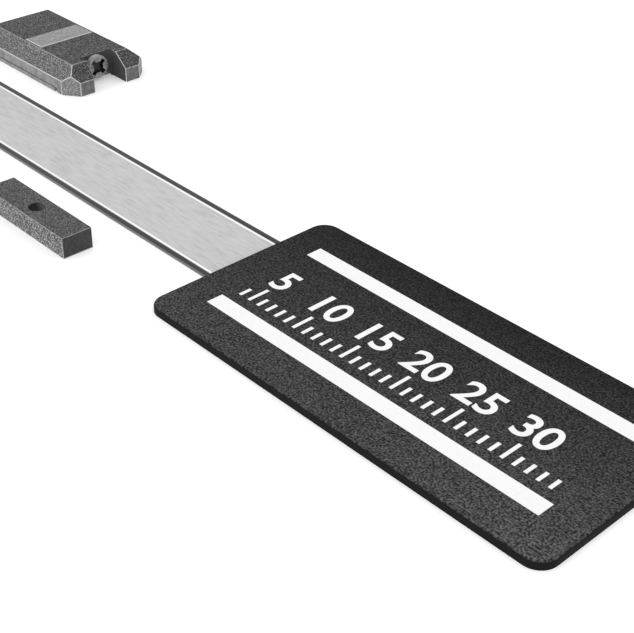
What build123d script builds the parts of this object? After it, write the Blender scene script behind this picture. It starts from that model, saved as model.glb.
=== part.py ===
# Linear encoder tape scale: an adhesive-backed steel tape with an end cover, a limit magnet on one side
# of it and a finely adjustable reference mark actuator on the other.
# X runs along the tape towards its covered end, Y across it, Z up from the mounting surface.
# The origin is on the tape's centreline, on the mounting surface, below the mouth of the end cover.
import os
from build123d import *

os.makedirs("parts", exist_ok=True)

# Tape
tape_width = 8.0
tape_glue = 0.05
tape_steel = 0.15
track_height = 0.02
margin_width = 0.58
free_length = 63.0
covered_length = 17.0
tape_corner = 0.6

# End cover
cover_length = 38.28
cover_width = 18.76
cover_height = 0.65
cover_offset = -0.7
cover_corner = 1.5
cover_edge = 0.2
channel_side_gap = 0.2
channel_top_gap = 0.03
bond_length = 1.5
cover_pad_height = 0.08
cover_pad_rim = 0.7
mouth_land = 1.0
stripe_width = 1.5
stripe_spacing = 10.3
stripe_inset = 3.08
stripe_length = 32.05
stripe_depth = 0.04

# Limit magnet
limit_length = 11.5
limit_width = 2.84
limit_height = 1.9
limit_x = -15.91
limit_y = -9.22
limit_glue = 0.08
limit_bevel = 0.03
dimple_radius = 0.75
dimple_depth = 0.6

# Reference mark actuator, measured back from its front face
actuator_x = -35.08
actuator_y = 11.86
body_length = 16.08
body_width = 9.63
body_height = 2.82
chamfer_width = 1.46
chamfer_drop = 1.37
nose_length = 1.6
nose_corner_near = 1.65
nose_corner_far = 1.2
nose_corner_y = 1.22
notch_width = 3.84
notch_depth = 2.7
notch_corner = 0.5
floor_gap = 0.03
panel_depth = 0.05
groove_height = 0.1
groove_depth = 0.25

# Base plate that the body slides on
base_glue = 0.08
base_plate = 0.3
base_setback = 2.94
base_inset = 0.18
slide_gap = 0.02
travel = 0.3
stop_gap = 0.1

# Adjuster
screw_z = 1.55
shank_radius = 0.6
running_gap = 0.02
head_radius = 1.2
head_length = 0.6
head_edge = 0.12
washer_radius = 1.05
washer_length = 0.12
recess_width = 1.9
recess_blade = 0.46
recess_pit = 0.58
recess_depth = 0.42
recess_turn = 45.0
wall = 1.0
spring_length = 2.0
spring_wire = 0.2
spring_radius = 0.82
spring_turns = 4
spring_gap = 0.35
nut_length = 2.4
nut_width = 2.8
nut_height = 2.35
nut_spigot_radius = 0.8
screw_overrun = 0.7
side_gap = 0.15
end_gap = 0.15

# Guide rail
rail_length = 5.0
rail_foot = 2.4
rail_top = 3.0
rail_height = 0.6
rail_setback = 0.3
rivet_radius = 0.45
rivet_head_radius = 0.8
rivet_head = 0.12
rivet_spacing = 3.0

# Magnets and keepers
magnet_length = 9.0
magnet_width = 1.5
magnet_height = 1.1
keeper_height = 0.2
magnet_inset = 1.2
magnet_setback = 1.4

# Marker band
band_start = 7.48
band_width = 2.86
band_depth = 0.12
band_proud = 0.02
band_margin = 0.22


def plate(length, width, height, plane):
    """A plain flat piece, centred on the plane."""
    with BuildPart() as piece:
        with BuildSketch(plane):
            Rectangle(length, width)
        extrude(amount=height)
    return piece.part


def save(solid, name):
    solid.label = name
    export_step(solid, f"parts/{name}.step")


# Tape: glue, steel strip and graduated track
tape_length = free_length + covered_length
tape_middle = (covered_length - free_length) / 2
steel_top = tape_glue + tape_steel
track_top = steel_top + track_height
track_width = tape_width - 2 * margin_width

with BuildPart() as tape_adhesive:
    with BuildSketch(Plane.XY.move(Location((tape_middle, 0, 0)))):
        RectangleRounded(tape_length, tape_width, tape_corner)
    extrude(amount=tape_glue)
save(tape_adhesive.part, "tape_adhesive")

with BuildPart() as tape_strip:
    with BuildSketch(Plane.XY.move(Location((tape_middle, 0, tape_glue)))):
        RectangleRounded(tape_length, tape_width, tape_corner)
    extrude(amount=tape_steel)
save(tape_strip.part, "tape_strip")

with BuildPart() as graduated_track:
    with BuildSketch(Plane.XY.move(Location((tape_middle, 0, steel_top)))):
        Rectangle(tape_length, track_width)
    extrude(amount=track_height)
save(graduated_track.part, "graduated_track")

# End cover: a thin moulded plate with a channel for the tape and pockets for its pads
channel_width = tape_width + 2 * channel_side_gap
channel_height = track_top + channel_top_gap
channel_length = covered_length + bond_length
cover_plane = Plane.XY.move(Location((cover_length / 2, cover_offset, 0)))
cover_half = cover_width / 2
far_flank = cover_offset + cover_half - channel_width / 2
near_flank = cover_half - cover_offset - channel_width / 2
pad_length = channel_length - mouth_land - cover_pad_rim
pad_x = mouth_land + pad_length / 2
far_pad_width = far_flank - 2 * cover_pad_rim
near_pad_width = near_flank - 2 * cover_pad_rim
far_pad_y = channel_width / 2 + far_flank / 2
near_pad_y = -channel_width / 2 - near_flank / 2
end_pad_length = cover_length - channel_length - 2 * cover_pad_rim
end_pad_width = cover_width - 2 * cover_pad_rim
end_pad_x = channel_length + cover_pad_rim + end_pad_length / 2
pad_places = [
    ("cover_pad_far", pad_x, far_pad_y, pad_length, far_pad_width),
    ("cover_pad_near", pad_x, near_pad_y, pad_length, near_pad_width),
    ("cover_pad_end", end_pad_x, cover_offset, end_pad_length, end_pad_width),
]
stripe_x = stripe_inset + stripe_length / 2
stripe_bottom = cover_height - stripe_depth
stripe_places = [
    ("cover_stripe_far", cover_offset + stripe_spacing / 2),
    ("cover_stripe_near", cover_offset - stripe_spacing / 2),
]

with BuildPart() as end_cover:
    with BuildSketch(cover_plane):
        RectangleRounded(cover_length, cover_width, cover_corner)
    extrude(amount=cover_height)
    fillet(end_cover.faces().sort_by(Axis.Z)[-1].edges(), cover_edge)
    with BuildSketch(Plane.XY.move(Location((channel_length / 2, 0, 0)))):
        Rectangle(channel_length, channel_width)
    extrude(amount=channel_height, mode=Mode.SUBTRACT)
    for _, x, y, length, width in pad_places:
        with BuildSketch(Plane.XY.move(Location((x, y, 0)))):
            Rectangle(length, width)
        extrude(amount=cover_pad_height, mode=Mode.SUBTRACT)
    for _, y in stripe_places:
        with BuildSketch(Plane.XY.move(Location((stripe_x, y, stripe_bottom)))):
            Rectangle(stripe_length, stripe_width)
        extrude(amount=stripe_depth, mode=Mode.SUBTRACT)
save(end_cover.part, "end_cover")

for name, x, y, length, width in pad_places:
    save(plate(length, width, cover_pad_height, Plane.XY.move(Location((x, y, 0)))), name)

for name, y in stripe_places:
    stripe_plane = Plane.XY.move(Location((stripe_x, y, stripe_bottom)))
    save(plate(stripe_length, stripe_width, stripe_depth, stripe_plane), name)

# Epoxy that locks the tape's end to the cover
bond_plane = Plane.XY.move(Location((covered_length + bond_length / 2, 0, 0)))
save(plate(bond_length, channel_width, channel_height, bond_plane), "end_bond")

# Limit magnet: a bar with a marking dimple in its top, on its own glue film
limit_plane = Plane.XY.move(Location((limit_x, limit_y, 0)))
save(plate(limit_length, limit_width, limit_glue, limit_plane), "limit_magnet_adhesive")

with BuildPart() as limit_magnet:
    with BuildSketch(limit_plane.offset(limit_glue)):
        Rectangle(limit_length, limit_width)
    extrude(amount=limit_height - limit_glue)
    outer_edges = limit_magnet.edges().filter_by(Axis.Z) + limit_magnet.faces().sort_by(Axis.Z)[-1].edges()
    chamfer(outer_edges, limit_bevel)
    dimple_ball = (dimple_radius**2 + dimple_depth**2) / (2 * dimple_depth)
    with Locations((limit_x, limit_y, limit_height - dimple_depth + dimple_ball)):
        Sphere(dimple_ball, mode=Mode.SUBTRACT)
save(limit_magnet.part, "limit_magnet")

# Actuator planes: plan view from the front face, side view and cross-section
actuator = Plane.XY.move(Location((actuator_x, actuator_y, 0)))
side_view = Plane(origin=(actuator_x, actuator_y, 0), x_dir=(1, 0, 0), z_dir=(0, -1, 0))


def section(back):
    """The cross-section plane that lies this far behind the front face."""
    return Plane(origin=(actuator_x - back, actuator_y, 0), x_dir=(0, 1, 0), z_dir=(1, 0, 0))


base_top = base_glue + base_plate
base_length = body_length - base_setback
base_width = body_width - 2 * base_inset
base_x = -base_setback - base_length / 2
body_floor = base_top + slide_gap
half_width = body_width / 2
shoulder = body_height - chamfer_drop
top_half = half_width - chamfer_width
nut_front = notch_depth + wall + spring_length + spring_gap
nut_middle = nut_front + nut_length / 2
cavity_front = notch_depth + wall
cavity_back = nut_front + nut_length + travel + end_gap + screw_overrun
cavity_length = cavity_back - cavity_front
cavity_width = nut_width + 2 * side_gap
cavity_top = nut_height + side_gap
rail_middle = body_length - rail_setback - rail_length / 2
magnet_x = -body_length + magnet_setback + magnet_length / 2
magnet_y = half_width - magnet_inset - magnet_width / 2
rebate_length = body_length - base_setback + travel + stop_gap
panel_height = shoulder - body_floor
panel_middle = body_floor + panel_height / 2
groove_middle = body_floor + groove_height / 2
keeper_bottom = body_floor + magnet_height
band_middle = -band_start - band_width / 2
band_length = 2 * (top_half - band_margin)

# Base plate with its glue
save(plate(base_length, base_width, base_glue, actuator * Location((base_x, 0, 0))), "actuator_adhesive")

rivet_x = [-rail_middle - rivet_spacing / 2, -rail_middle + rivet_spacing / 2]
with BuildPart() as actuator_base:
    with BuildSketch(actuator.offset(base_glue)):
        with Locations((base_x, 0)):
            Rectangle(base_length, base_width)
    extrude(amount=base_plate)
    with BuildSketch(actuator.offset(base_glue)):
        with Locations((-nut_middle, 0)):
            Circle(nut_spigot_radius)
    extrude(amount=base_plate, mode=Mode.SUBTRACT)
    with BuildSketch(actuator.offset(base_glue)):
        with Locations((rivet_x[0], 0), (rivet_x[1], 0)):
            Circle(rivet_radius)
    extrude(amount=base_plate, mode=Mode.SUBTRACT)
    with BuildSketch(actuator.offset(base_glue)):
        with Locations((rivet_x[0], 0), (rivet_x[1], 0)):
            Circle(rivet_head_radius)
    extrude(amount=rivet_head, mode=Mode.SUBTRACT)
save(actuator_base.part, "actuator_base")

# Dovetail guide rail, riveted to the base from below
with BuildPart() as guide_rail:
    with BuildSketch(section(rail_middle + rail_length / 2)):
        with BuildLine():
            Polyline(
                (-rail_foot / 2, base_top),
                (rail_foot / 2, base_top),
                (rail_top / 2, base_top + rail_height),
                (-rail_top / 2, base_top + rail_height),
                close=True,
            )
        make_face()
    extrude(amount=rail_length)
    with BuildSketch(actuator.offset(base_top)):
        with Locations((rivet_x[0], 0), (rivet_x[1], 0)):
            Circle(rivet_radius)
    extrude(amount=rail_height, mode=Mode.SUBTRACT)
save(guide_rail.part, "guide_rail")

with BuildPart() as rail_rivets:
    with BuildSketch(actuator.offset(base_glue)):
        with Locations((rivet_x[0], 0), (rivet_x[1], 0)):
            Circle(rivet_head_radius)
    extrude(amount=rivet_head)
    with BuildSketch(actuator.offset(base_glue)):
        with Locations((rivet_x[0], 0), (rivet_x[1], 0)):
            Circle(rivet_radius)
    extrude(amount=base_plate + rail_height)
save(rail_rivets.part, "rail_rivets")

# Nut block with a spigot in the base plate
thread_bore = shank_radius + running_gap
with BuildPart() as adjuster_nut:
    with BuildSketch(actuator.offset(base_top)):
        with Locations((-nut_middle, 0)):
            Rectangle(nut_length, nut_width)
    extrude(amount=nut_height - base_top)
    chamfer(adjuster_nut.edges().filter_by(Axis.Z), side_gap)
    with BuildSketch(actuator.offset(base_glue)):
        with Locations((-nut_middle, 0)):
            Circle(nut_spigot_radius)
    extrude(amount=base_plate)
    with BuildSketch(section(nut_front + nut_length)):
        with Locations((0, screw_z)):
            Circle(thread_bore)
    extrude(amount=nut_length, mode=Mode.SUBTRACT)
save(adjuster_nut.part, "adjuster_nut")

# Sliding body: chamfered bar with a forked nose, hollow below
with BuildPart() as actuator_body:
    with BuildSketch(section(body_length)):
        with BuildLine():
            Polyline(
                (-half_width, floor_gap),
                (half_width, floor_gap),
                (half_width, shoulder),
                (top_half, body_height),
                (-top_half, body_height),
                (-half_width, shoulder),
                close=True,
            )
        make_face()
    extrude(amount=body_length)
    with BuildSketch(side_view):
        with BuildLine():
            Polyline((-nose_length, body_height), (0, body_height), (0, shoulder), close=True)
        make_face()
    extrude(amount=half_width, both=True, mode=Mode.SUBTRACT)
    with BuildSketch(actuator):
        for side, reach in ((-1, nose_corner_near), (1, nose_corner_far)):
            with BuildLine():
                Polyline(
                    (-reach, side * half_width),
                    (0, side * half_width),
                    (0, side * (half_width - nose_corner_y)),
                    close=True,
                )
            make_face()
    extrude(amount=body_height, mode=Mode.SUBTRACT)
    with BuildSketch(actuator):
        with Locations((0, 0)):
            RectangleRounded(2 * notch_depth, notch_width, notch_corner)
    extrude(amount=body_height, mode=Mode.SUBTRACT)
    with BuildSketch(actuator):
        with Locations((-body_length + rebate_length / 2, 0)):
            Rectangle(rebate_length, body_width)
    extrude(amount=body_floor, mode=Mode.SUBTRACT)
    with BuildSketch(section(body_length)):
        with Locations((half_width, panel_middle), (-half_width, panel_middle)):
            Rectangle(2 * panel_depth, panel_height)
    extrude(amount=body_length - base_setback, mode=Mode.SUBTRACT)
    with BuildSketch(section(body_length)):
        with Locations((half_width, groove_middle), (-half_width, groove_middle)):
            Rectangle(2 * groove_depth, groove_height)
    extrude(amount=rebate_length, mode=Mode.SUBTRACT)
    with BuildSketch(actuator.offset(body_floor)):
        with Locations((-cavity_front - cavity_length / 2, 0)):
            Rectangle(cavity_length, cavity_width)
    extrude(amount=cavity_top - body_floor, mode=Mode.SUBTRACT)
    with BuildSketch(section(body_length)):
        with BuildLine():
            Polyline(
                (-rail_foot / 2 - slide_gap, base_top),
                (rail_foot / 2 + slide_gap, base_top),
                (rail_top / 2 + slide_gap, base_top + rail_height + slide_gap),
                (-rail_top / 2 - slide_gap, base_top + rail_height + slide_gap),
                close=True,
            )
        make_face()
    extrude(amount=body_length - cavity_back, mode=Mode.SUBTRACT)
    with BuildSketch(actuator.offset(body_floor)):
        with Locations((magnet_x, magnet_y), (magnet_x, -magnet_y)):
            Rectangle(magnet_length, magnet_width)
    extrude(amount=magnet_height + keeper_height, mode=Mode.SUBTRACT)
    with BuildSketch(section(cavity_front)):
        with Locations((0, screw_z)):
            Circle(shank_radius + running_gap)
    extrude(amount=wall, mode=Mode.SUBTRACT)
    with BuildSketch(actuator.offset(body_height - band_depth)):
        with Locations((band_middle, 0)):
            Rectangle(band_width, band_length)
    extrude(amount=band_depth, mode=Mode.SUBTRACT)
save(actuator_body.part, "actuator_body")

# Marker band set into the top
with BuildPart() as marker_band:
    with BuildSketch(actuator.offset(body_height - band_depth)):
        with Locations((band_middle, 0)):
            Rectangle(band_width, band_length)
    extrude(amount=band_depth + band_proud)
save(marker_band.part, "marker_band")

# Magnets and steel keepers in the body's two pockets
for side, word in ((1, "far"), (-1, "near")):
    magnet_plane = actuator * Location((magnet_x, side * magnet_y, body_floor))
    keeper_plane = actuator * Location((magnet_x, side * magnet_y, keeper_bottom))
    save(plate(magnet_length, magnet_width, magnet_height, magnet_plane), f"actuator_magnet_{word}")
    save(plate(magnet_length, magnet_width, keeper_height, keeper_plane), f"magnet_keeper_{word}")

# Adjuster screw: cross-recessed head in the notch, shank through the wall into the nut
head_back = notch_depth - washer_length
head_front = head_back - head_length
screw_end = nut_front + nut_length + screw_overrun
with BuildPart() as adjuster_screw:
    with BuildSketch(section(head_back)):
        with Locations((0, screw_z)):
            Circle(head_radius)
    extrude(amount=head_length)
    fillet(adjuster_screw.faces().sort_by(Axis.X)[-1].edges(), head_edge)
    with BuildSketch(section(screw_end)):
        with Locations((0, screw_z)):
            Circle(shank_radius)
    extrude(amount=screw_end - head_back)
    chamfer(adjuster_screw.faces().sort_by(Axis.X)[0].edges(), head_edge)
    with BuildSketch(section(head_front + recess_depth)):
        with Locations((0, screw_z)):
            Rectangle(recess_width, recess_blade, rotation=recess_turn)
            Rectangle(recess_blade, recess_width, rotation=recess_turn)
            Circle(recess_pit)
    extrude(amount=recess_depth, mode=Mode.SUBTRACT)
save(adjuster_screw.part, "adjuster_screw")

with BuildPart() as screw_washer:
    with BuildSketch(section(notch_depth)):
        with Locations((0, screw_z)):
            Circle(washer_radius)
            Circle(shank_radius + running_gap, mode=Mode.SUBTRACT)
    extrude(amount=washer_length)
save(screw_washer.part, "screw_washer")

# Compression spring of square wire round the shank, which takes up the thread's play
coil_length = spring_length - spring_wire
with BuildPart() as anti_backlash_spring:
    with BuildLine():
        coil = Helix(
            coil_length / spring_turns,
            coil_length,
            spring_radius,
            center=(actuator_x - cavity_front - spring_wire / 2, actuator_y, screw_z),
            direction=(-1, 0, 0),
        )
    with BuildSketch(Plane(coil @ 0, z_dir=coil % 0)):
        Rectangle(spring_wire, spring_wire)
    sweep(path=coil)
save(anti_backlash_spring.part, "anti_backlash_spring")
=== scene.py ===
# An adhesive steel tape scale with its end cover, a limit magnet and an adjustable reference
# actuator. The photographed set lies on white. Positions come from the frame, in metres.
from math import radians

import bmesh
import bpy
from mathutils import Matrix, Vector


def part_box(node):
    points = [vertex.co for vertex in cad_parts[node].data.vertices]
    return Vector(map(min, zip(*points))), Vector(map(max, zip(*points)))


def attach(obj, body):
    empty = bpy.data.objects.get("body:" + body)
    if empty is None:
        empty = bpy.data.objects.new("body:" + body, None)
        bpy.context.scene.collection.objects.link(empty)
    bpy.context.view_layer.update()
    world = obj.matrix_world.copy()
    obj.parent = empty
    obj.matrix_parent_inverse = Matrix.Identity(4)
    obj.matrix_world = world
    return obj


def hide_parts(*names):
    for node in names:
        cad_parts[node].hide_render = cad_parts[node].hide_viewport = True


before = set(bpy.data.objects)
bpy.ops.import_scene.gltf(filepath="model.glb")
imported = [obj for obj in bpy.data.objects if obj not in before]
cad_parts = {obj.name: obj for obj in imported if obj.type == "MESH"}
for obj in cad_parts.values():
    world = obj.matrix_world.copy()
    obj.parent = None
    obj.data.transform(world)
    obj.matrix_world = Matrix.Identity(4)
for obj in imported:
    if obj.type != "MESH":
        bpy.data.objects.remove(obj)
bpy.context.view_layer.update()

MM = 0.001

# Floor and light
# A seamless white table top, a soft key light from the near side and an even white surround.
# The lamps are level, so a colour renders about as it is written.
TABLE_HALF = 4.0
TABLE_WHITE = 0.92
TABLE_LIFT = 0.28
SURROUND = 0.9
KEY_WATTS = 0.128
KEY_SIZE = 0.16
KEY_PLACE = (-0.09, -0.26, 0.17)
FILL_WATTS = 0.021
FILL_SIZE = 0.12
FILL_PLACE = (0.16, 0.10, 0.16)
AIM = Vector((-0.01, 0.0, 0.0))


def lamp(name, place, size, watts):
    light = bpy.data.lights.new(name, "AREA")
    light.shape = "SQUARE"
    light.size = size
    light.energy = watts
    holder = bpy.data.objects.new(name, light)
    bpy.context.scene.collection.objects.link(holder)
    holder.location = place
    holder.rotation_euler = (AIM - Vector(place)).to_track_quat("-Z", "Y").to_euler()


def looked_at(tree):
    """1 where the camera sees a surface directly, in a reflection or through a clear piece."""
    path = tree.nodes.new("ShaderNodeLightPath")
    seen = path.outputs["Is Camera Ray"]
    for ray in ("Is Glossy Ray", "Is Transmission Ray"):
        either = tree.nodes.new("ShaderNodeMath")
        either.operation = "MAXIMUM"
        tree.links.new(seen, either.inputs[0])
        tree.links.new(path.outputs[ray], either.inputs[1])
        seen = either.outputs[0]
    return seen


def table_material():
    """White diffuse, with a little glow for the camera alone, so that it reads as paper white."""
    material = bpy.data.materials.new("table_white")
    material.use_nodes = True
    tree = material.node_tree
    tree.nodes.clear()
    output = tree.nodes.new("ShaderNodeOutputMaterial")
    diffuse = tree.nodes.new("ShaderNodeBsdfDiffuse")
    diffuse.inputs["Color"].default_value = (TABLE_WHITE, TABLE_WHITE, TABLE_WHITE, 1)
    glow = tree.nodes.new("ShaderNodeEmission")
    lift = tree.nodes.new("ShaderNodeMath")
    lift.operation = "MULTIPLY"
    lift.inputs[1].default_value = TABLE_LIFT
    both = tree.nodes.new("ShaderNodeAddShader")
    tree.links.new(looked_at(tree), lift.inputs[0])
    tree.links.new(lift.outputs[0], glow.inputs["Strength"])
    tree.links.new(diffuse.outputs[0], both.inputs[0])
    tree.links.new(glow.outputs[0], both.inputs[1])
    tree.links.new(both.outputs[0], output.inputs["Surface"])
    return material


table_mesh = bpy.data.meshes.new("table")
table_sketch = bmesh.new()
bmesh.ops.create_grid(table_sketch, x_segments=1, y_segments=1, size=TABLE_HALF)
table_sketch.to_mesh(table_mesh)
table_sketch.free()
table = bpy.data.objects.new("table", table_mesh)
table_mesh.materials.append(table_material())
bpy.context.scene.collection.objects.link(table)

world = bpy.data.worlds.new("surround")
bpy.context.scene.world = world
world.use_nodes = True
surround = world.node_tree.nodes["Background"]
level = world.node_tree.nodes.new("ShaderNodeMapRange")
level.inputs["To Min"].default_value = SURROUND
level.inputs["To Max"].default_value = 1.0
surround.inputs["Color"].default_value = (1, 1, 1, 1)
world.node_tree.links.new(looked_at(world.node_tree), level.inputs["Value"])
world.node_tree.links.new(level.outputs["Result"], surround.inputs["Strength"])
lamp("key", KEY_PLACE, KEY_SIZE, KEY_WATTS)
lamp("fill", FILL_PLACE, FILL_SIZE, FILL_WATTS)

# Camera
# The photograph's viewpoint. It was solved from the straight edges of the tape, the cover, the
# magnet and the actuator.
CAMERA_PLACE = (0.06923, -0.05810, 0.05530)
CAMERA_TURN = (56.20, -0.866, 46.957)
CAMERA_LENS = 74.72
CAMERA_SENSOR = 36.0
CAMERA_NEAR = 0.001

camera_data = bpy.data.cameras.new("camera")
camera_data.lens = CAMERA_LENS
camera_data.sensor_width = CAMERA_SENSOR
camera_data.clip_start = CAMERA_NEAR
camera = bpy.data.objects.new("camera", camera_data)
camera.location = CAMERA_PLACE
camera.rotation_euler = [radians(angle) for angle in CAMERA_TURN]
bpy.context.scene.collection.objects.link(camera)
bpy.context.scene.camera = camera
bpy.context.scene.view_settings.view_transform = "Standard"

# Tape
# A rolled stainless strip on a film of acrylic glue. Its graduated face is satin and finely
# brushed along the tape. A white line is painted along each side as a highlight, and the polished
# margins outside the lines are painted dark as a reflection.
TRACK_PALE = 0.58
TRACK_DULL = 0.47
TRACK_HIGHLIGHT = 0.21
STREAK_SIZE = 0.22
STREAK_SHARE = 0.6
STREAK_PULL = (0.12, 1.0, 1.0)
HAIR_SIZE = 0.07
HAIR_SHARE = 0.25
HAIR_PULL = (0.1, 1.0, 1.0)
CLOUD_SIZE = 3.0
CLOUD_SHARE = 0.15
TRACK_RELIEF = 0.01
MARGIN_REFLECTION_DARK = 0.04
MARGIN_REFLECTION_PALE = 0.17
MARGIN_WANDER = 1.2
MARGIN_PULL = (0.15, 1.0, 1.0)
GLUE_GREY = 0.4
GLUE_DARK = 0.34
GLUE_PALE = 0.45
GLUE_SIZE = 0.6


def new_material(name, grey, rough, metal=0.0, specular=0.5):
    """A grey Principled material, returned with its tree, shader and object coordinates in mm."""
    material = bpy.data.materials.new(name)
    material.use_nodes = True
    tree = material.node_tree
    shader = tree.nodes["Principled BSDF"]
    shader.inputs["Base Color"].default_value = (grey, grey, grey, 1)
    shader.inputs["Roughness"].default_value = rough
    shader.inputs["Metallic"].default_value = metal
    shader.inputs["Specular IOR Level"].default_value = specular
    place = tree.nodes.new("ShaderNodeTexCoord")
    scale = tree.nodes.new("ShaderNodeVectorMath")
    scale.operation = "SCALE"
    scale.inputs["Scale"].default_value = 1 / MM
    tree.links.new(place.outputs["Object"], scale.inputs[0])
    return material, tree, shader, scale.outputs[0]


def noise(tree, vector, size, detail=2.0, stretch=None):
    """Noise of a grain size in mm, stretched along an axis where asked."""
    if stretch:
        shape = tree.nodes.new("ShaderNodeVectorMath")
        shape.operation = "MULTIPLY"
        shape.inputs[1].default_value = stretch
        tree.links.new(vector, shape.inputs[0])
        vector = shape.outputs[0]
    texture = tree.nodes.new("ShaderNodeTexNoise")
    texture.inputs["Scale"].default_value = 1 / size
    texture.inputs["Detail"].default_value = detail
    tree.links.new(vector, texture.inputs["Vector"])
    return texture.outputs["Fac"]


def ramp(tree, value, stops):
    """A grey ramp: (position, grey) pairs."""
    node = tree.nodes.new("ShaderNodeValToRGB")
    while len(node.color_ramp.elements) < len(stops):
        node.color_ramp.elements.new(0.5)
    for element, (position, grey) in zip(node.color_ramp.elements, stops):
        element.position = position
        element.color = (grey, grey, grey, 1)
    tree.links.new(value, node.inputs["Fac"])
    return node.outputs["Color"]


def arithmetic(tree, operation, first, second=0.0):
    """One Math node on sockets or numbers."""
    node = tree.nodes.new("ShaderNodeMath")
    node.operation = operation
    for socket, value in zip(node.inputs, (first, second)):
        if isinstance(value, (int, float)):
            socket.default_value = value
        else:
            tree.links.new(value, socket)
    return node.outputs[0]


def blend_colours(tree, mask, low, high, mode="MIX"):
    """Mixes two colour sockets, or greys, by a mask socket or number."""
    node = tree.nodes.new("ShaderNodeMix")
    node.data_type = "RGBA"
    node.blend_type = mode
    for socket, value in ((node.inputs[0], mask), (node.inputs[6], low), (node.inputs[7], high)):
        if isinstance(value, (int, float)):
            plain = socket.type == "VALUE"
            socket.default_value = value if plain else (value, value, value, 1)
        else:
            tree.links.new(value, socket)
    return node.outputs[2]


def axis_value(tree, vector, axis):
    """The x, y or z of a vector socket."""
    split = tree.nodes.new("ShaderNodeSeparateXYZ")
    tree.links.new(vector, split.inputs[0])
    return split.outputs["XYZ".index(axis)]


def bump(tree, shader, height, strength, depth):
    """Feeds a height into the shader's normal; depth in mm."""
    node = tree.nodes.new("ShaderNodeBump")
    node.inputs["Strength"].default_value = strength
    node.inputs["Distance"].default_value = depth * MM
    tree.links.new(height, node.inputs["Height"])
    tree.links.new(node.outputs[0], shader.inputs["Normal"])


def dress(node, material):
    """Gives a CAD node one material."""
    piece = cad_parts[node]
    piece.data.materials.clear()
    piece.data.materials.append(material)
    return piece


track_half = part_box("graduated_track")[1][1] / MM


def track_material():
    """Satin steel, brushed along the tape, between two white lines painted as highlights."""
    material, tree, shader, mm = new_material("graduated_face", TRACK_PALE, 0.42, metal=0.35)
    streaks = noise(tree, mm, STREAK_SIZE, 4.0, stretch=STREAK_PULL)
    fine = noise(tree, mm, HAIR_SIZE, 2.0, stretch=HAIR_PULL)
    cloud = noise(tree, mm, CLOUD_SIZE, 2.0)
    brushed = arithmetic(tree, "ADD", arithmetic(tree, "MULTIPLY", streaks, STREAK_SHARE),
                         arithmetic(tree, "MULTIPLY", fine, HAIR_SHARE))
    mixed = arithmetic(tree, "ADD", brushed, arithmetic(tree, "MULTIPLY", cloud, CLOUD_SHARE))
    face = ramp(tree, mixed, [(0.36, TRACK_DULL), (0.5, TRACK_PALE), (0.66, TRACK_PALE * 1.08)])
    across = arithmetic(tree, "ABSOLUTE", axis_value(tree, mm, "Y"))
    # Painted highlight: a white line along each side of the face.
    line = arithmetic(tree, "GREATER_THAN", across, track_half - TRACK_HIGHLIGHT)
    colour = blend_colours(tree, line, face, 1.0)
    tree.links.new(colour, shader.inputs["Base Color"])
    bump(tree, shader, brushed, 0.25, TRACK_RELIEF)
    return material


def margin_material():
    """Polished margins, painted dark as a reflection of dark surroundings: darkest along their
    middle, paler at their edges.
    """
    material, tree, shader, mm = new_material("polished_margin_reflection", MARGIN_REFLECTION_DARK, 0.3, metal=0.9)
    strip_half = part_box("tape_strip")[1][1] / MM
    middle = (strip_half + track_half) / 2
    across = arithmetic(tree, "ABSOLUTE", axis_value(tree, mm, "Y"))
    off = arithmetic(tree, "ABSOLUTE", arithmetic(tree, "SUBTRACT", across, middle))
    soft = arithmetic(tree, "DIVIDE", off, (strip_half - track_half) / 2)
    wander = noise(tree, mm, MARGIN_WANDER, 2.0, stretch=MARGIN_PULL)
    edge = arithmetic(tree, "ADD", soft, arithmetic(tree, "MULTIPLY", wander, 0.3))
    # Painted reflection: the grey runs from dark in the middle to paler at the edges.
    stops = [(0.45, MARGIN_REFLECTION_DARK), (0.85, MARGIN_REFLECTION_DARK * 1.5), (1.0, MARGIN_REFLECTION_PALE)]
    colour = ramp(tree, edge, stops)
    tree.links.new(colour, shader.inputs["Base Color"])
    return material


def glue_material():
    material, tree, shader, mm = new_material("acrylic_glue", GLUE_GREY, 0.45)
    colour = ramp(tree, noise(tree, mm, GLUE_SIZE), [(0.3, GLUE_DARK), (0.7, GLUE_PALE)])
    tree.links.new(colour, shader.inputs["Base Color"])
    return material


glue = glue_material()
dress("tape_strip", margin_material())
dress("graduated_track", track_material())
dress("tape_adhesive", glue)

# End cover
# A thin injection-moulded plate with a fine leather grain on top and plain sides. Glue pads
# hold it to the machine. Its top is painted paler toward the near side and the end as a sheen, its
# rounded edge catches the light, and two white stripes are printed along it.
COVER_DARK = 0.006
COVER_MIDDLE = 0.028
COVER_PALE = 0.064
COVER_SIDE = 0.012
COVER_GRAIN = 0.165
COVER_PORES = 0.45
GRAIN_SHARE = 0.8
PORE_SHARE = 0.2
COVER_RELIEF = 0.08
TOP_FROM = 0.6
TOP_FULL = 0.95
SHEEN_FROM = -10.0
SHEEN_TO = 8.7
SHEEN_NEAR = 1.9
SHEEN_FAR = 0.48
SHINE_FROM = 20.0
SHINE_TO = 38.0
SHINE_END = 1.35
INK_WHITE = 0.97
INK_DARK = 0.95
INK_PALE = 0.99
INK_SIZE = 0.25
MERGE_GAP = 0.0005 * MM
FLAT_ANGLE = 0.5
SMOOTH_ANGLE = 40.0


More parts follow.
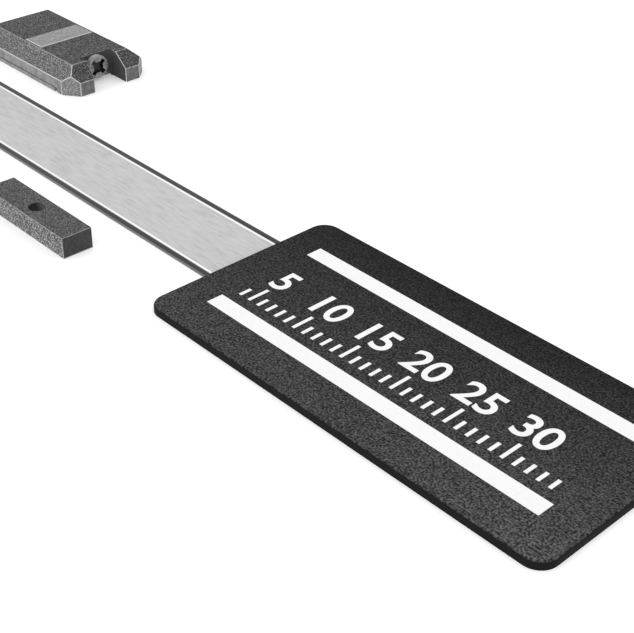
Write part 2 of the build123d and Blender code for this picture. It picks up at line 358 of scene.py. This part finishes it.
def merged_copy(node, name, body):
    """A watertight copy of a CAD node, smooth across its curves, that stands for it."""
    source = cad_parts[node]
    mesh = bpy.data.meshes.new(name)
    shape = bmesh.new()
    shape.from_mesh(source.data)
    bmesh.ops.remove_doubles(shape, verts=shape.verts, dist=MERGE_GAP)
    limit = radians(FLAT_ANGLE)
    bmesh.ops.dissolve_limit(shape, angle_limit=limit, verts=shape.verts, edges=shape.edges)
    for face in shape.faces:
        face.smooth = True
        face.material_index = 0
    shape.to_mesh(mesh)
    shape.free()
    mesh.materials.clear()
    mesh.set_sharp_from_angle(angle=radians(SMOOTH_ANGLE))
    piece = bpy.data.objects.new(name, mesh)
    bpy.context.scene.collection.objects.link(piece)
    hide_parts(node)
    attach(piece, body)
    return piece


def even_shading(piece):
    """Keeps broad flat faces flat where they run into a rounded edge."""
    even = piece.modifiers.new("even_shading", "WEIGHTED_NORMAL")
    even.weight = 100
    even.keep_sharp = True


def across_part(tree, value, low, high, first, last):
    """A number that runs from first to last as a coordinate in mm runs from low to high."""
    node = tree.nodes.new("ShaderNodeMapRange")
    node.inputs["From Min"].default_value = low
    node.inputs["From Max"].default_value = high
    node.inputs["To Min"].default_value = first
    node.inputs["To Max"].default_value = last
    tree.links.new(value, node.inputs["Value"])
    return node.outputs["Result"]


def facing_up(tree, low, high):
    """A mask that rises from 0 to 1 as the surface turns to face up."""
    place = tree.nodes.new("ShaderNodeTexCoord")
    up = axis_value(tree, place.outputs["Normal"], "Z")
    node = tree.nodes.new("ShaderNodeMapRange")
    node.inputs["From Min"].default_value = low
    node.inputs["From Max"].default_value = high
    tree.links.new(up, node.inputs["Value"])
    return node.outputs["Result"]


def cover_material():
    """Leather grain on the top, with a painted sheen that makes it paler toward the near side and
    the end, and plain sides.
    """
    material, tree, shader, mm = new_material("grained_plastic", COVER_DARK, 0.6, specular=0.05)
    grain = noise(tree, mm, COVER_GRAIN, 1.0)
    pores = noise(tree, mm, COVER_PORES, 1.0)
    mixed = arithmetic(tree, "ADD", arithmetic(tree, "MULTIPLY", grain, GRAIN_SHARE),
                       arithmetic(tree, "MULTIPLY", pores, PORE_SHARE))
    stops = [(0.36, COVER_DARK), (0.5, COVER_MIDDLE), (0.64, COVER_PALE)]
    grained = ramp(tree, mixed, stops)
    side_on, end_on = axis_value(tree, mm, "Y"), axis_value(tree, mm, "X")
    # Painted sheen: the grain is made paler toward the near side and toward the end.
    sheen = across_part(tree, side_on, SHEEN_FROM, SHEEN_TO, SHEEN_NEAR, SHEEN_FAR)
    shine = across_part(tree, end_on, SHINE_FROM, SHINE_TO, 1.0, SHINE_END)
    lit = arithmetic(tree, "MULTIPLY", sheen, shine)
    grained = blend_colours(tree, 1.0, grained, lit, "MULTIPLY")
    top = facing_up(tree, TOP_FROM, TOP_FULL)
    colour = blend_colours(tree, top, COVER_SIDE, grained)
    tree.links.new(colour, shader.inputs["Base Color"])
    height = arithmetic(tree, "MULTIPLY", mixed, top)
    bump(tree, shader, height, 1.0, COVER_RELIEF)
    return material


def stripe_material():
    material, tree, shader, mm = new_material("white_print", INK_WHITE, 0.5, specular=0.3)
    colour = ramp(tree, noise(tree, mm, INK_SIZE, 2.0), [(0.3, INK_DARK), (0.7, INK_PALE)])
    tree.links.new(colour, shader.inputs["Base Color"])
    return material


cover = merged_copy("end_cover", "moulded_cover", "fixed_set")
cover.data.materials.append(cover_material())
even_shading(cover)
print_white = stripe_material()
dress("cover_stripe_far", print_white)
dress("cover_stripe_near", print_white)
dress("cover_pad_far", glue)
dress("cover_pad_near", glue)
dress("cover_pad_end", glue)

# Length graduation
# Plain millimetre ticks and numerals in the same flat white ink, printed between the stripes.
# They lie on the cover's grained top and mark the distance from its mouth.
PRINT_FILM = 0.012 * MM
TICK_GAP = 1.0 * MM
TICK_WIDE = 0.3 * MM
TICK_SHORT = 1.1 * MM
TICK_LONG = 2.0 * MM
TICK_FIRST = 4
TICK_LAST = 34
NUMERAL_SIZE = 3.6 * MM
NUMERAL_STEP = 5
NUMERAL_GAP = 0.6 * MM
NUMERAL_BOLD = 0.06 * MM

cover_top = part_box("end_cover")[1][2]
tick_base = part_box("cover_stripe_near")[1][1] + TICK_GAP


def block(shape, low, high):
    """Adds a box between two corners to a bmesh."""
    size = Vector(high) - Vector(low)
    middle = (Vector(high) + Vector(low)) / 2
    place = Matrix.Translation(middle) @ Matrix.Diagonal((*size, 1))
    bmesh.ops.create_cube(shape, size=1.0, matrix=place)


def printed(name, shape):
    """Turns a bmesh into a piece of white print that rides on the fixed set."""
    mesh = bpy.data.meshes.new(name)
    shape.to_mesh(mesh)
    shape.free()
    mesh.materials.append(print_white)
    piece = bpy.data.objects.new(name, mesh)
    bpy.context.scene.collection.objects.link(piece)
    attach(piece, "fixed_set")
    return piece


tick_sketch = bmesh.new()
for step in range(TICK_FIRST, TICK_LAST + 1):
    reach = TICK_LONG if step % NUMERAL_STEP == 0 else TICK_SHORT
    middle_x = step * MM
    low_corner = (middle_x - TICK_WIDE / 2, tick_base, cover_top)
    high_corner = (middle_x + TICK_WIDE / 2, tick_base + reach, cover_top + PRINT_FILM)
    block(tick_sketch, low_corner, high_corner)
printed("cover_ticks", tick_sketch)

for step in range(NUMERAL_STEP, TICK_LAST, NUMERAL_STEP):
    figure = bpy.data.curves.new(f"figure_{step}", "FONT")
    figure.body = str(step)
    figure.size = NUMERAL_SIZE
    figure.align_x = "CENTER"
    figure.offset = NUMERAL_BOLD
    figure.extrude = PRINT_FILM / 2
    maker = bpy.data.objects.new(f"figure_{step}", figure)
    bpy.context.scene.collection.objects.link(maker)
    flat = bpy.data.meshes.new_from_object(maker)
    bpy.data.objects.remove(maker)
    figure_sketch = bmesh.new()
    figure_sketch.from_mesh(flat)
    place = Vector((step * MM, tick_base + TICK_LONG + NUMERAL_GAP, cover_top + PRINT_FILM / 2))
    bmesh.ops.remove_doubles(figure_sketch, verts=figure_sketch.verts, dist=MERGE_GAP)
    bmesh.ops.translate(figure_sketch, verts=figure_sketch.verts, vec=place)
    printed(f"cover_numeral_{step}", figure_sketch)

# Epoxy at the tape's end
# A bead of cured two-part epoxy that locks the tape to the cover.
# It's hidden under the cover.
EPOXY_GREY = 0.2
EPOXY_DARK = 0.16
EPOXY_PALE = 0.26
EPOXY_SIZE = 0.8


def epoxy_material():
    material, tree, shader, mm = new_material("cured_epoxy", EPOXY_GREY, 0.25)
    colour = ramp(tree, noise(tree, mm, EPOXY_SIZE), [(0.3, EPOXY_DARK), (0.7, EPOXY_PALE)])
    tree.links.new(colour, shader.inputs["Base Color"])
    return material


dress("end_bond", epoxy_material())

# Limit magnet
# A sintered magnet bar, ground on top and as-cut on its long sides, with a marking dimple.
# It's stuck beside the tape with a glue film; its thin edges are painted bright, for wear and a
# painted highlight.
MAGNET_TOP = 0.054
MAGNET_SIDE = 0.1
MAGNET_GRAIN = 0.11
MAGNET_SIDE_GRAIN = 0.1
MAGNET_END_GRAIN = 0.12
MAGNET_RELIEF = 0.04
MAGNET_FLECK = 0.22
MAGNET_SIDE_FLECK = 0.62
DIMPLE_SHADE = 0.02
DIMPLE_LIGHT = 0.11
DIMPLE_REACH = 0.76
SURFACE_SKIN = 0.04
EDGE_HIGHLIGHT_GREY = 0.4
EDGE_REACH = 0.05 * MM
WEAR_SIZE = 0.2
FACES_ALONG = 0.7
SQUARE_ON = 0.9


def speckle_group():
    """Grain of cast or sintered metal: a mask of light specks over a mottled ground."""
    group = bpy.data.node_groups.new("speckle", "ShaderNodeTree")
    group.interface.new_socket("Vector", in_out="INPUT", socket_type="NodeSocketVector")
    group.interface.new_socket("Size", in_out="INPUT", socket_type="NodeSocketFloat")
    group.interface.new_socket("Specks", in_out="OUTPUT", socket_type="NodeSocketFloat")
    group.interface.new_socket("Mottle", in_out="OUTPUT", socket_type="NodeSocketFloat")
    inside = group.nodes.new("NodeGroupInput")
    outside = group.nodes.new("NodeGroupOutput")
    divide = group.nodes.new("ShaderNodeVectorMath")
    divide.operation = "DIVIDE"
    group.links.new(inside.outputs["Vector"], divide.inputs[0])
    group.links.new(inside.outputs["Size"], divide.inputs[1])
    fine = group.nodes.new("ShaderNodeTexNoise")
    fine.inputs["Scale"].default_value = 1.0
    fine.inputs["Detail"].default_value = 1.5
    group.links.new(divide.outputs[0], fine.inputs["Vector"])
    sharp = group.nodes.new("ShaderNodeMapRange")
    sharp.inputs["From Min"].default_value = 0.5
    sharp.inputs["From Max"].default_value = 0.66
    group.links.new(fine.outputs["Fac"], sharp.inputs["Value"])
    broad = group.nodes.new("ShaderNodeTexNoise")
    broad.inputs["Scale"].default_value = 0.45
    group.links.new(divide.outputs[0], broad.inputs["Vector"])
    group.links.new(sharp.outputs["Result"], outside.inputs["Specks"])
    group.links.new(broad.outputs["Fac"], outside.inputs["Mottle"])
    return group


speckle = speckle_group()


def speckled(tree, vector, size, ground, fleck, amount=1.0):
    """Mottled ground with lighter flecks. Returns the colour and the mask of flecks."""
    node = tree.nodes.new("ShaderNodeGroup")
    node.node_tree = speckle
    node.inputs["Size"].default_value = size
    tree.links.new(vector, node.inputs["Vector"])
    base = ramp(tree, node.outputs["Mottle"], [(0.3, ground * 0.7), (0.7, ground * 1.3)])
    mask = arithmetic(tree, "MULTIPLY", node.outputs["Specks"], amount)
    return blend_colours(tree, mask, base, fleck), node.outputs["Specks"]


def side_mask(tree, axis, sign):
    """1 where the surface faces along one axis, by sign."""
    place = tree.nodes.new("ShaderNodeTexCoord")
    value = axis_value(tree, place.outputs["Normal"], axis)
    toward = arithmetic(tree, "MULTIPLY", value, sign)
    return arithmetic(tree, "GREATER_THAN", toward, FACES_ALONG)


def near_axis(tree, vector, axes, box, radius):
    """1 within a radius in mm of the middle of a box, measured across the two named axes."""
    squares = []
    for axis in axes:
        index = "XYZ".index(axis)
        middle = (box[0][index] + box[1][index]) / 2 / MM
        offset = arithmetic(tree, "SUBTRACT", axis_value(tree, vector, axis), middle)
        squares.append(arithmetic(tree, "MULTIPLY", offset, offset))
    total = arithmetic(tree, "ADD", squares[0], squares[1])
    return arithmetic(tree, "LESS_THAN", total, radius * radius)


magnet_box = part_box("limit_magnet")


def magnet_material():
    """Speckled top and long sides, smooth ends, and a dimple painted dark as shade, paler on its
    far side as painted light.
    """
    material, tree, shader, mm = new_material("sintered_bar", MAGNET_TOP, 0.6, specular=0.15)
    top, _ = speckled(tree, mm, MAGNET_GRAIN, MAGNET_TOP, MAGNET_FLECK)
    side, side_specks = speckled(tree, mm, MAGNET_SIDE_GRAIN, MAGNET_SIDE, MAGNET_SIDE_FLECK)
    long_side = arithmetic(tree, "MAXIMUM", side_mask(tree, "Y", -1), side_mask(tree, "Y", 1))
    end = arithmetic(tree, "MAXIMUM", side_mask(tree, "X", -1), side_mask(tree, "X", 1))
    smooth, _ = speckled(tree, mm, MAGNET_END_GRAIN, MAGNET_TOP, MAGNET_TOP * 1.3, 0.3)
    colour = blend_colours(tree, long_side, top, side)
    colour = blend_colours(tree, end, colour, smooth)
    skin = magnet_box[1][2] / MM - SURFACE_SKIN
    sunk = arithmetic(tree, "LESS_THAN", axis_value(tree, mm, "Z"), skin)
    round_dimple = near_axis(tree, mm, "XY", magnet_box, DIMPLE_REACH)
    dimple = arithmetic(tree, "MULTIPLY", sunk, round_dimple)
    # Painted shade and light in the dimple: pale where its far side faces the near side, dark
    # elsewhere.
    place = tree.nodes.new("ShaderNodeTexCoord")
    lit = arithmetic(tree, "MULTIPLY", axis_value(tree, place.outputs["Normal"], "Y"), -1.0)
    wall = ramp(tree, lit, [(0.35, DIMPLE_SHADE), (0.95, DIMPLE_LIGHT)])
    colour = blend_colours(tree, dimple, colour, wall)
    tree.links.new(colour, shader.inputs["Base Color"])
    bump(tree, shader, side_specks, 0.5, MAGNET_RELIEF)
    return material


def edge_material(name, grey):
    """Metal along an edge, painted bright for wear and a painted highlight."""
    material, tree, shader, mm = new_material(name, grey, 0.4, metal=0.4)
    colour = ramp(tree, noise(tree, mm, WEAR_SIZE, 2.0), [(0.3, grey * 0.7), (0.7, grey * 1.2)])
    tree.links.new(colour, shader.inputs["Base Color"])
    return material


bar = merged_copy("limit_magnet", "limit_bar", "fixed_set")
bar.data.materials.append(magnet_material())
bar.data.materials.append(edge_material("bar_worn_highlight", EDGE_HIGHLIGHT_GREY))
# The bevelled edge faces take the bright edge: wear and a painted highlight.
for face in bar.data.polygons:
    slanted = max(abs(part) for part in face.normal) < SQUARE_ON
    low_reach = [face.center[i] - magnet_box[0][i] for i in range(3)]
    high_reach = [magnet_box[1][i] - face.center[i] for i in range(3)]
    outer = sum(min(pair) < EDGE_REACH for pair in zip(low_reach, high_reach))
    if slanted and outer > 1:
        face.material_index = 1
dress("limit_magnet_adhesive", glue)

# Reference actuator body
# A cast and blasted metal shell. Its top and chamfers stay rough and its upright sides are
# machined smooth. Each face's grey is painted for the light that falls on it, with painted shade
# in the fork and painted highlights along its edges. Its forked nose guards the adjuster screw,
# and it slides on the base plate.
BODY_TOP = 0.035
BODY_CHAMFER = 0.1
BODY_SIDE = 0.32
BODY_NOSE = 0.045
BODY_FRONT = 0.155
BODY_CORNER = 0.2
BODY_TOP_FLECK = 0.24
BODY_CHAMFER_FLECK = 0.46
BODY_NOSE_FLECK = 0.2
BODY_CORNER_FLECK = 0.5
CAST_GRAIN = 0.11
FACET_GRAIN = 0.12
PANEL_GRAIN = 0.3
FRONT_GRAIN = 0.2
CAST_RELIEF = 0.04
BODY_EDGE_HIGHLIGHT = 0.7
BODY_SOFT_HIGHLIGHT = 0.38
FACES_UP = 0.95
UPRIGHT = 0.3
NOSE_FACING = 0.45
TURNED_OUT = 0.4
TURNED_AHEAD = 0.3
CHAMFER_DROP = 1.37
CHAMFER_HIGHLIGHT = 0.06
PANEL_BACK = 2.94
PANEL_HIGHLIGHT = 0.05
NOTCH_SHADE = 0.075
NOTCH_REACH = 2.3
NOTCH_MOUTH = 0.05
NOSE_LENGTH = 1.6 * MM
NOTCH_HALF = 1.92 * MM
PRONG_LEAN = 0.4 * MM
PRONG_SEEK = 0.1 * MM
WORN_WIDTH = 0.04 * MM
WORN_ANGLE = 25.0
KNIFE_ANGLE = 100.0
WORN_LENGTH = 0.5 * MM
WORN_FLOOR = 0.6 * MM
STRAIGHT_RUN = 0.95


def body_material():
    """Gives each face of the shell its own grain, and a grey painted for the light that falls on
    it, by the way it faces and where it is.
    """
    material, tree, shader, mm = new_material("blasted_casting", BODY_TOP, 0.62, specular=0.15)
    # Painted light: the greys below are lit and shaded levels of one casting, set by facing; the
    # grain is its own.
    top, _ = speckled(tree, mm, CAST_GRAIN, BODY_TOP, BODY_TOP_FLECK)
    rough, flecks = speckled(tree, mm, CAST_GRAIN, BODY_CHAMFER, BODY_CHAMFER_FLECK)
    facet, _ = speckled(tree, mm, FACET_GRAIN, BODY_CORNER, BODY_CORNER_FLECK)
    side, _ = speckled(tree, mm, PANEL_GRAIN, BODY_SIDE, BODY_SIDE * 1.2, 0.5)
    nose, _ = speckled(tree, mm, FACET_GRAIN, BODY_NOSE, BODY_NOSE_FLECK)
    front, _ = speckled(tree, mm, FRONT_GRAIN, BODY_FRONT, BODY_FRONT * 1.2, 0.5)
    body_low, body_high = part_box("actuator_body")
    along, side_on, height = (axis_value(tree, mm, axis) for axis in "XYZ")
    place = tree.nodes.new("ShaderNodeTexCoord")
    normal = place.outputs["Normal"]
    up = axis_value(tree, normal, "Z")
    flat = arithmetic(tree, "GREATER_THAN", up, FACES_UP)
    upright = arithmetic(tree, "LESS_THAN", up, UPRIGHT)
    ahead = axis_value(tree, normal, "X")
    sloped_nose = arithmetic(tree, "GREATER_THAN", ahead, NOSE_FACING)
    across = arithmetic(tree, "ABSOLUTE", axis_value(tree, normal, "Y"))
    shoulder = body_high[2] / MM - CHAMFER_DROP
    # Painted highlight: a bright line along the foot of the chamfers.
    chamfer_highlight = arithmetic(tree, "LESS_THAN", height, shoulder + CHAMFER_HIGHLIGHT)
    rough = blend_colours(tree, chamfer_highlight, rough, BODY_EDGE_HIGHLIGHT)
    colour = blend_colours(tree, flat, rough, top)
    colour = blend_colours(tree, sloped_nose, colour, nose)
    square_side = arithmetic(tree, "GREATER_THAN", across, SQUARE_ON)
    upright_side = arithmetic(tree, "MULTIPLY", upright, square_side)
    past = arithmetic(tree, "SUBTRACT", along, body_high[0] / MM - PANEL_BACK)
    side = blend_colours(tree, arithmetic(tree, "GREATER_THAN", past, 0.0), side, facet)
    # Painted highlight: a bright line down the side where the grained front facet meets the smooth
    # panel.
    panel_highlight = arithmetic(tree, "LESS_THAN", arithmetic(tree, "ABSOLUTE", past), PANEL_HIGHLIGHT)
    side = blend_colours(tree, panel_highlight, side, BODY_EDGE_HIGHLIGHT)
    colour = blend_colours(tree, upright_side, colour, side)
    facing_front = arithmetic(tree, "GREATER_THAN", ahead, SQUARE_ON)
    square_front = arithmetic(tree, "MULTIPLY", upright, facing_front)
    colour = blend_colours(tree, square_front, colour, front)
    turned_out = arithmetic(tree, "GREATER_THAN", across, TURNED_OUT)
    turned_ahead = arithmetic(tree, "GREATER_THAN", ahead, TURNED_AHEAD)
    corner = arithmetic(tree, "MULTIPLY", upright, turned_out)
    corner = arithmetic(tree, "MULTIPLY", corner, turned_ahead)
    colour = blend_colours(tree, corner, colour, facet)
    # Painted shade: upright faces between the prongs, in the fork's notch, are painted dark; the
    # back end's middle takes it too.
    middle = (body_low[1] + body_high[1]) / 2 / MM
    offset = arithmetic(tree, "ABSOLUTE", arithmetic(tree, "SUBTRACT", side_on, middle))
    between = arithmetic(tree, "LESS_THAN", offset, NOTCH_REACH)
    inside = arithmetic(tree, "MULTIPLY", upright, between)
    hidden = arithmetic(tree, "LESS_THAN", along, body_high[0] / MM - NOTCH_MOUTH)
    painted_notch_shade = arithmetic(tree, "MULTIPLY", inside, hidden)
    colour = blend_colours(tree, painted_notch_shade, colour, NOTCH_SHADE)
    tree.links.new(colour, shader.inputs["Base Color"])
    bump(tree, shader, flecks, 0.5, CAST_RELIEF)
    return material


def lean_prong(piece):
    """Draws the near prong's inner top corner in, so that it hides part of the screw's head."""
    body_low, body_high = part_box("actuator_body")
    middle = (body_low[1] + body_high[1]) / 2
    corner = Vector((body_high[0] - NOSE_LENGTH, middle - NOTCH_HALF, body_high[2]))
    shape = bmesh.new()
    shape.from_mesh(piece.data)
    for vertex in shape.verts:
        if (vertex.co - corner).length < PRONG_SEEK:
            vertex.co.y += PRONG_LEAN
            inner = [face for face in vertex.link_faces if face.normal.y > SQUARE_ON]
            bmesh.ops.triangulate(shape, faces=inner)
    shape.normal_update()
    shape.to_mesh(piece.data)
    shape.free()


def worn_edges(piece, width, bright, soft):
    """Breaks the long, sharp outer edges above the base with a narrow bright face: wear and a
    painted highlight.

    Edges that run straight along or across the part get the softer painted highlight.
    """
    mesh = piece.data
    mesh.materials.append(bright)
    mesh.materials.append(soft)
    shape = bmesh.new()
    shape.from_mesh(mesh)
    worn = []
    for edge in shape.edges:
        height = (edge.verts[0].co.z + edge.verts[1].co.z) / 2
        sharp = radians(WORN_ANGLE) < edge.calc_face_angle_signed(0.0) < radians(KNIFE_ANGLE)
        if sharp and edge.calc_length() > WORN_LENGTH and height > WORN_FLOOR:
            worn.append(edge)
    bmesh.ops.bevel(shape, geom=worn, offset=width, segments=1, affect="EDGES",
                    clamp_overlap=False, material=1)
    shape.normal_update()
    for edge in shape.edges:
        border = len({face.material_index for face in edge.link_faces}) > 1
        if border or edge.calc_face_angle(0.0) > radians(SMOOTH_ANGLE):
            edge.smooth = False
    for face in shape.faces:
        longest = max(face.edges, key=lambda edge: edge.calc_length())
        run = (longest.verts[1].co - longest.verts[0].co).normalized()
        if face.material_index == 1 and max(abs(run.x), abs(run.y)) > STRAIGHT_RUN:
            face.material_index = 2
    shape.to_mesh(mesh)
    shape.free()


shell = merged_copy("actuator_body", "actuator_shell", "actuator_slide")
shell.data.materials.append(body_material())
lean_prong(shell)
# Edges painted bright: wear and a painted highlight.
worn_highlight_edge = edge_material("shell_edge", BODY_EDGE_HIGHLIGHT)
soft_highlight_edge = edge_material("shell_soft_edge", BODY_SOFT_HIGHLIGHT)
worn_edges(shell, WORN_WIDTH, worn_highlight_edge, soft_highlight_edge)

# Foot plate
# The steel foot bonded to the machine, ground flush with the sides of the body that slides on it.
# The groove between the two shows as a dark line, and its glue is squeezed out to the same width.
FOOT_GREY = 0.31
FOOT_GRAIN = 0.3
FOOT_END = 0.1 * MM


def foot_material():
    material, tree, shader, mm = new_material("ground_foot", FOOT_GREY, 0.55, specular=0.2)
    colour, _ = speckled(tree, mm, FOOT_GRAIN, FOOT_GREY, FOOT_GREY * 1.25, 0.5)
    tree.links.new(colour, shader.inputs["Base Color"])
    return material


ground_steel = foot_material()
foot = merged_copy("actuator_base", "foot_plate", "fixed_set")
foot.data.materials.append(ground_steel)
foot_glue = merged_copy("actuator_adhesive", "foot_glue", "fixed_set")
foot_glue.data.materials.append(ground_steel)
foot_low, foot_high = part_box("actuator_base")
side_low, side_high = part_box("actuator_body")
for piece in (foot, foot_glue):
    for vertex in piece.data.vertices:
        if vertex.co.y < foot_low[1] + FOOT_END:
            vertex.co.y += side_low[1] - foot_low[1]
        elif vertex.co.y > foot_high[1] - FOOT_END:
            vertex.co.y += side_high[1] - foot_high[1]

# Marker band
# A pale satin inlay set into the top of the body, which shows where the reference acts.
# Its near and front rims are painted bright, for wear and a painted highlight.
BAND_GREY = 0.25
BAND_GRAIN = 0.15
BAND_RIM = 0.12
BAND_RIM_HIGHLIGHT = 0.65


def band_material():
    material, tree, shader, mm = new_material("satin_inlay", BAND_GREY, 0.5, metal=0.2)
    colour, _ = speckled(tree, mm, BAND_GRAIN, BAND_GREY, BAND_GREY * 1.6, 0.8)
    band_low, band_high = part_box("marker_band")
    side_on, along = axis_value(tree, mm, "Y"), axis_value(tree, mm, "X")
    near = arithmetic(tree, "LESS_THAN", side_on, band_low[1] / MM + BAND_RIM)
    ahead = arithmetic(tree, "GREATER_THAN", along, band_high[0] / MM - BAND_RIM)
    rim = arithmetic(tree, "MAXIMUM", near, ahead)
    # The near and front rims: wear and a painted highlight.
    colour = blend_colours(tree, rim, colour, BAND_RIM_HIGHLIGHT)
    tree.links.new(colour, shader.inputs["Base Color"])
    return material


band = merged_copy("marker_band", "pale_band", "actuator_slide")
band.data.materials.append(band_material())

# Adjuster screw and washer
# A turned steel screw with a cross recess, bright on its rim and painted dark down in the recess
# as shade.
# Its head bears on a washer in the fork and its shank runs back into the nut.
SCREW_GREY = 0.26
SCREW_GRAIN = 0.25
SCREW_RELIEF = 0.02
RECESS_SHADE = 0.015
RECESS_REACH = 1.0


def screw_material():
    """Turned steel, painted dark as shade where it lies deeper than the head's face and near its
    middle.
    """
    material, tree, shader, mm = new_material("turned_steel", SCREW_GREY, 0.42, metal=0.3)
    wear = noise(tree, mm, SCREW_GRAIN, 3.0)
    stops = [(0.35, SCREW_GREY * 0.75), (0.5, SCREW_GREY), (0.68, SCREW_GREY * 1.4)]
    colour = ramp(tree, wear, stops)
    screw_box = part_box("adjuster_screw")
    skin = screw_box[1][0] / MM - SURFACE_SKIN
    sunk = arithmetic(tree, "LESS_THAN", axis_value(tree, mm, "X"), skin)
    middle = near_axis(tree, mm, "YZ", screw_box, RECESS_REACH)
    recess = arithmetic(tree, "MULTIPLY", sunk, middle)
    # Painted shade down in the cross recess.
    colour = blend_colours(tree, recess, colour, RECESS_SHADE)
    tree.links.new(colour, shader.inputs["Base Color"])
    bump(tree, shader, wear, 0.2, SCREW_RELIEF)
    return material


turned = screw_material()
screw = merged_copy("adjuster_screw", "adjuster", "adjuster")
screw.data.materials.append(turned)
dress("screw_washer", turned)
dress("rail_rivets", turned)

# Works inside the actuator
# A dovetail rail, a brass nut, plated magnets with steel keepers and a square-wire spring.
# They are riveted or bonded where the frame puts them, mostly out of sight.
METAL_GRAIN = 0.3


def plain_metal(name, grey, rough, metal, tint=(1, 1, 1)):
    """Machined metal with a faint uneven finish."""
    material, tree, shader, mm = new_material(name, grey, rough, metal=metal)
    node = tree.nodes.new("ShaderNodeMix")
    node.data_type = "RGBA"
    node.inputs[6].default_value = (*(grey * 0.8 * part for part in tint), 1)
    node.inputs[7].default_value = (*(min(grey * 1.2 * part, 1.0) for part in tint), 1)
    tree.links.new(noise(tree, mm, METAL_GRAIN, 3.0), node.inputs[0])
    tree.links.new(node.outputs[2], shader.inputs["Base Color"])
    return material


dress("guide_rail", plain_metal("rail_steel", 0.3, 0.4, 0.8))
dress("adjuster_nut", plain_metal("machined_brass", 0.6, 0.35, 0.9, (1.0, 0.8, 0.45)))
nickel = plain_metal("nickel_plate", 0.6, 0.2, 1.0)
dress("actuator_magnet_far", nickel)
dress("actuator_magnet_near", nickel)
keeper = plain_metal("zinc_plate", 0.4, 0.4, 0.9)
dress("magnet_keeper_far", keeper)
dress("magnet_keeper_near", keeper)
dress("anti_backlash_spring", plain_metal("spring_wire", 0.35, 0.35, 0.9))
